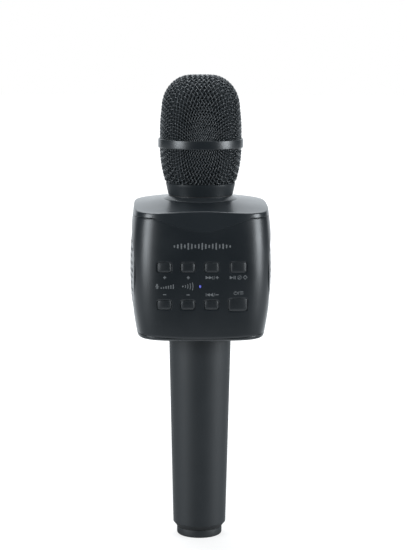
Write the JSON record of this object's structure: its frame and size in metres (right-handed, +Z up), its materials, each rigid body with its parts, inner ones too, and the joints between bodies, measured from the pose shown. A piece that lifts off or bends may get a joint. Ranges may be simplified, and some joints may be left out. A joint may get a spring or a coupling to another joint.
{
  "type": "karaoke microphone",
  "caption": "Hand-held karaoke microphone: a woven-wire head screwed onto a pillow-shaped body with side speakers and a button panel, on a tapered handle.",
  "frame": {"origin": "centre of the end cap's flat underside, where the microphone stands", "axes": "+Z up the handle to the head, -Y out of the button panel, +X to the right as seen from the button side"},
  "size_m": [0.081, 0.0757, 0.27],
  "materials": {
    "basket_wire": "satin black paint over woven wire",
    "ring_metal": "satin black",
    "shell_plastic": "fine satin grain, near black",
    "cap_plastic": "fine satin grain, near black",
    "handle_plastic": "soft satin, near black",
    "button_plastic": "satin, near black",
    "plunger_plastic": "smooth",
    "speaker_grille": "satin black",
    "cone_paper": "coated paper with a rubber roll surround",
    "magnet": "ferrite and plated steel plates",
    "inner_plastic": "moulded",
    "seal_rubber": "matt",
    "foam": "open-cell foam",
    "capsule_metal": "turned",
    "plated_steel": "nickel plated",
    "contact_brass": "plated spring brass",
    "battery_wrap": "shrink sleeve over a steel can",
    "board": "solder mask",
    "lead": "sleeved wire",
    "led": "diffusing lens, lit"
  },
  "bodies": {
    "root": {"neck_spigot": "inner_plastic", "capsule_mount": "seal_rubber", "mic_capsule": "capsule_metal", "top_cap": "cap_plastic", "front_shell": "shell_plastic", "rear_shell": "shell_plastic", "bottom_cap": "shell_plastic", "main_board": "board", "switch_bodies": "inner_plastic", "status_led": "led", "port_board": "board", "usb_socket": "plated_steel", "aux_jack": "inner_plastic", "card_slot": "plated_steel", "body_screws": "plated_steel", "board_screws": "plated_steel", "speaker_screws": "plated_steel", "handle_tube": "handle_plastic", "handle_nut": "inner_plastic", "battery": "battery_wrap", "battery_tray": "inner_plastic", "battery_contacts": "contact_brass", "capsule_lead": "lead", "battery_lead": "lead", "speaker_leads": "lead", "left_grille": "speaker_grille", "left_speaker_gasket": "seal_rubber", "left_speaker_frame": "plated_steel", "left_speaker_magnet": "magnet", "left_speaker_cone": "cone_paper", "right_grille": "speaker_grille", "right_speaker_gasket": "seal_rubber", "right_speaker_frame": "plated_steel", "right_speaker_magnet": "magnet", "right_speaker_cone": "cone_paper"},
    "head_washer": {"head_washer": "seal_rubber"},
    "head": {"upper_basket": "basket_wire", "lower_basket": "basket_wire", "grille_ring": "ring_metal", "grille_collar": "handle_plastic", "foam_windscreen": "foam"},
    "end_washer": {"end_seal": "seal_rubber"},
    "end_cap": {"end_cap": "handle_plastic"},
    "mic_volume_up": {"mic_volume_up_button": "button_plastic", "mic_volume_up_plunger": "plunger_plastic"},
    "echo_up": {"echo_up_button": "button_plastic", "echo_up_plunger": "plunger_plastic"},
    "next": {"next_button": "button_plastic", "next_plunger": "plunger_plastic"},
    "play": {"play_button": "button_plastic", "play_plunger": "plunger_plastic"},
    "mic_volume_down": {"mic_volume_down_button": "button_plastic", "mic_volume_down_plunger": "plunger_plastic"},
    "echo_down": {"echo_down_button": "button_plastic", "echo_down_plunger": "plunger_plastic"},
    "previous": {"previous_button": "button_plastic", "previous_plunger": "plunger_plastic"},
    "power": {"power_button": "button_plastic", "power_plunger": "plunger_plastic"}
  },
  "joints": [
    {"name": "head_lift", "type": "slide", "parent": "root", "child": "head_washer", "axis": [0, 0, 1], "range_m": [0, 0.0053]},
    {"name": "head_turn", "type": "hinge", "parent": "head_washer", "child": "head", "pos_m": [0, 0, 0.2], "axis": [0, 0, 1], "range_deg": [0, 1260]},
    {"name": "end_cap_drop", "type": "slide", "parent": "root", "child": "end_washer", "axis": [0, 0, -1], "range_m": [0, 0.0061]},
    {"name": "end_cap_turn", "type": "hinge", "parent": "end_washer", "child": "end_cap", "pos_m": [0, 0, 0.005], "axis": [0, 0, -1], "range_deg": [0, 1440]},
    {"name": "mic_volume_up_press", "type": "slide", "parent": "root", "child": "mic_volume_up", "axis": [0, 1, 0], "range_m": [0, 0.0005], "stiffness_N_per_m": 500, "springref_m": -0.0005},
    {"name": "echo_up_press", "type": "slide", "parent": "root", "child": "echo_up", "axis": [0, 1, 0], "range_m": [0, 0.0005], "stiffness_N_per_m": 500, "springref_m": -0.0005},
    {"name": "next_press", "type": "slide", "parent": "root", "child": "next", "axis": [0, 1, 0], "range_m": [0, 0.0005], "stiffness_N_per_m": 500, "springref_m": -0.0005},
    {"name": "play_press", "type": "slide", "parent": "root", "child": "play", "axis": [0, 1, 0], "range_m": [0, 0.0005], "stiffness_N_per_m": 500, "springref_m": -0.0005},
    {"name": "mic_volume_down_press", "type": "slide", "parent": "root", "child": "mic_volume_down", "axis": [0, 1, 0], "range_m": [0, 0.0005], "stiffness_N_per_m": 500, "springref_m": -0.0005},
    {"name": "echo_down_press", "type": "slide", "parent": "root", "child": "echo_down", "axis": [0, 1, 0], "range_m": [0, 0.0005], "stiffness_N_per_m": 500, "springref_m": -0.0005},
    {"name": "previous_press", "type": "slide", "parent": "root", "child": "previous", "axis": [0, 1, 0], "range_m": [0, 0.0005], "stiffness_N_per_m": 500, "springref_m": -0.0005},
    {"name": "power_press", "type": "slide", "parent": "root", "child": "power", "axis": [0, 1, 0], "range_m": [0, 0.0005], "stiffness_N_per_m": 500, "springref_m": -0.0005}
  ],
  "couplings": [
    {"joint": "head_lift", "follows": "head_turn", "m_per_rad": 0.00023873},
    {"joint": "end_cap_drop", "follows": "end_cap_turn", "m_per_rad": 0.00023873}
  ]
}
